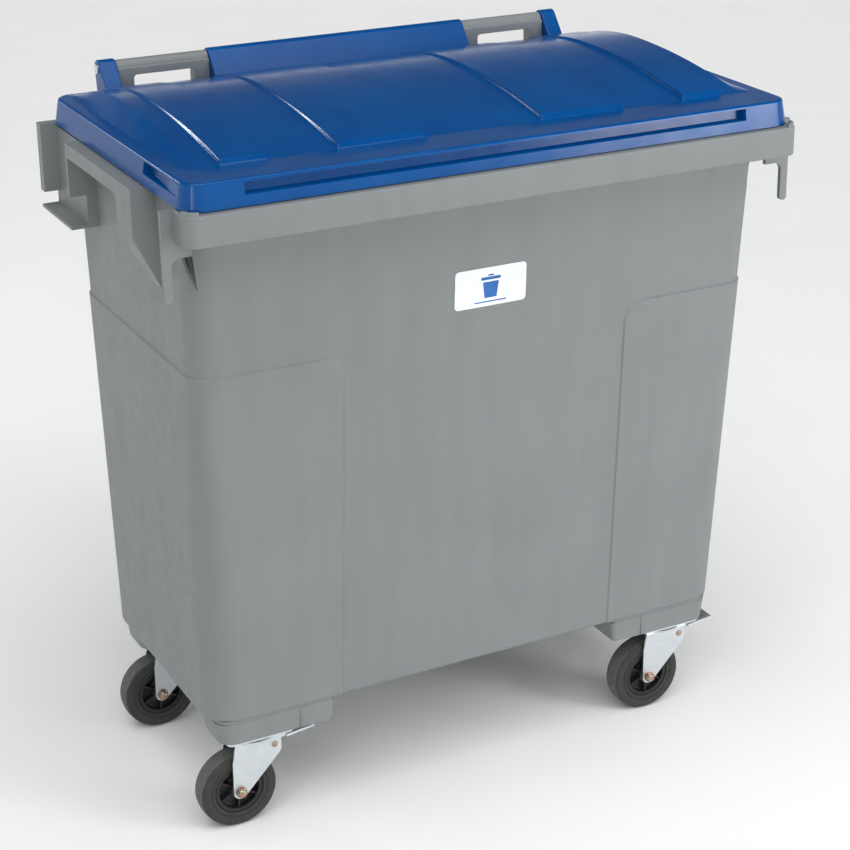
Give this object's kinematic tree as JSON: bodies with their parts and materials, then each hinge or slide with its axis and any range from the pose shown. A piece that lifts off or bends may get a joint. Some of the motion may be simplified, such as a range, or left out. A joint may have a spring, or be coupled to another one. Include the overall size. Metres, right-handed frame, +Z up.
{
  "type": "wheelie bin",
  "caption": "Large waste container on swivel castors, with a moulded grey tub and a hinged domed blue lid.",
  "frame": {"origin": "on the floor, at the bottom centre of the closed container's bounding box", "axes": "+X to the right seen from the front, -Y out of the front, +Z up"},
  "size_m": [1.304, 0.774, 1.42],
  "materials": {
    "grey_plastic": "fine moulded texture",
    "blue_plastic": "glossy",
    "zinc": "bright pressed sheet",
    "rubber": "matt",
    "black_plastic": "satin",
    "brass": "satin",
    "label_white": "satin"
  },
  "bodies": {
    "tub": {"tub": "grey_plastic", "hinge_pin_left": "zinc", "hinge_pin_right": "zinc", "label_plate": "label_white", "drain_seal": "rubber", "front_left_top_plate": "zinc", "front_left_kingpin": "zinc", "front_left_swivel_bearing": "black_plastic", "front_left_plate_bolt_1": "zinc", "front_left_plate_bolt_2": "zinc", "front_left_plate_bolt_3": "zinc", "front_left_plate_bolt_4": "zinc", "front_right_top_plate": "zinc", "front_right_kingpin": "zinc", "front_right_swivel_bearing": "black_plastic", "front_right_plate_bolt_1": "zinc", "front_right_plate_bolt_2": "zinc", "front_right_plate_bolt_3": "zinc", "front_right_plate_bolt_4": "zinc", "rear_left_top_plate": "zinc", "rear_left_kingpin": "zinc", "rear_left_swivel_bearing": "black_plastic", "rear_left_plate_bolt_1": "zinc", "rear_left_plate_bolt_2": "zinc", "rear_left_plate_bolt_3": "zinc", "rear_left_plate_bolt_4": "zinc", "rear_right_top_plate": "zinc", "rear_right_kingpin": "zinc", "rear_right_swivel_bearing": "black_plastic", "rear_right_plate_bolt_1": "zinc", "rear_right_plate_bolt_2": "zinc", "rear_right_plate_bolt_3": "zinc", "rear_right_plate_bolt_4": "zinc"},
    "lid": {"lid": "blue_plastic"},
    "drain_plug": {"drain_plug": "black_plastic"},
    "front_left_swivel": {"front_left_fork": "zinc", "front_left_axle_bolt": "zinc", "front_left_axle_nut": "brass", "front_left_brake_pin": "brass"},
    "front_left_wheel": {"front_left_tyre": "rubber", "front_left_wheel_centre": "black_plastic"},
    "front_left_pedal": {"front_left_brake_pedal": "zinc"},
    "front_right_swivel": {"front_right_fork": "zinc", "front_right_axle_bolt": "zinc", "front_right_axle_nut": "brass", "front_right_brake_pin": "brass"},
    "front_right_wheel": {"front_right_tyre": "rubber", "front_right_wheel_centre": "black_plastic"},
    "front_right_pedal": {"front_right_brake_pedal": "zinc"},
    "rear_left_swivel": {"rear_left_fork": "zinc", "rear_left_axle_bolt": "zinc", "rear_left_axle_nut": "brass"},
    "rear_left_wheel": {"rear_left_tyre": "rubber", "rear_left_wheel_centre": "black_plastic"},
    "rear_right_swivel": {"rear_right_fork": "zinc", "rear_right_axle_bolt": "zinc", "rear_right_axle_nut": "brass"},
    "rear_right_wheel": {"rear_right_tyre": "rubber", "rear_right_wheel_centre": "black_plastic"}
  },
  "joints": [
    {"name": "lid_hinge", "type": "hinge", "parent": "tub", "child": "lid", "pos_m": [0, 0.3695, 1.4025], "axis": [-1, 0, 0], "range_deg": [0, 268]},
    {"name": "drain_plug_turn", "type": "hinge", "parent": "tub", "child": "drain_plug", "pos_m": [0, 0, 0.25], "axis": [0, 0, 1], "range_deg": [0, 90]},
    {"name": "front_left_swivel", "type": "hinge", "parent": "tub", "child": "front_left_swivel", "pos_m": [-0.473, -0.185, 0.19], "axis": [0, 0, 1], "continuous": true},
    {"name": "front_left_wheel_spin", "type": "hinge", "parent": "front_left_swivel", "child": "front_left_wheel", "pos_m": [-0.513, -0.185, 0.08], "axis": [0, 1, 0], "continuous": true},
    {"name": "front_left_brake", "type": "hinge", "parent": "front_left_swivel", "child": "front_left_pedal", "pos_m": [-0.439, -0.185, 0.166], "axis": [0, 1, 0], "range_deg": [0, 8]},
    {"name": "front_right_swivel", "type": "hinge", "parent": "tub", "child": "front_right_swivel", "pos_m": [0.473, -0.185, 0.19], "axis": [0, 0, 1], "continuous": true},
    {"name": "front_right_wheel_spin", "type": "hinge", "parent": "front_right_swivel", "child": "front_right_wheel", "pos_m": [0.433, -0.185, 0.08], "axis": [0, 1, 0], "continuous": true},
    {"name": "front_right_brake", "type": "hinge", "parent": "front_right_swivel", "child": "front_right_pedal", "pos_m": [0.507, -0.185, 0.166], "axis": [0, 1, 0], "range_deg": [0, 8]},
    {"name": "rear_left_swivel", "type": "hinge", "parent": "tub", "child": "rear_left_swivel", "pos_m": [-0.473, 0.248, 0.19], "axis": [0, 0, 1], "continuous": true},
    {"name": "rear_left_wheel_spin", "type": "hinge", "parent": "rear_left_swivel", "child": "rear_left_wheel", "pos_m": [-0.513, 0.248, 0.08], "axis": [0, 1, 0], "continuous": true},
    {"name": "rear_right_swivel", "type": "hinge", "parent": "tub", "child": "rear_right_swivel", "pos_m": [0.473, 0.248, 0.19], "axis": [0, 0, 1], "continuous": true},
    {"name": "rear_right_wheel_spin", "type": "hinge", "parent": "rear_right_swivel", "child": "rear_right_wheel", "pos_m": [0.433, 0.248, 0.08], "axis": [0, 1, 0], "continuous": true}
  ]
}
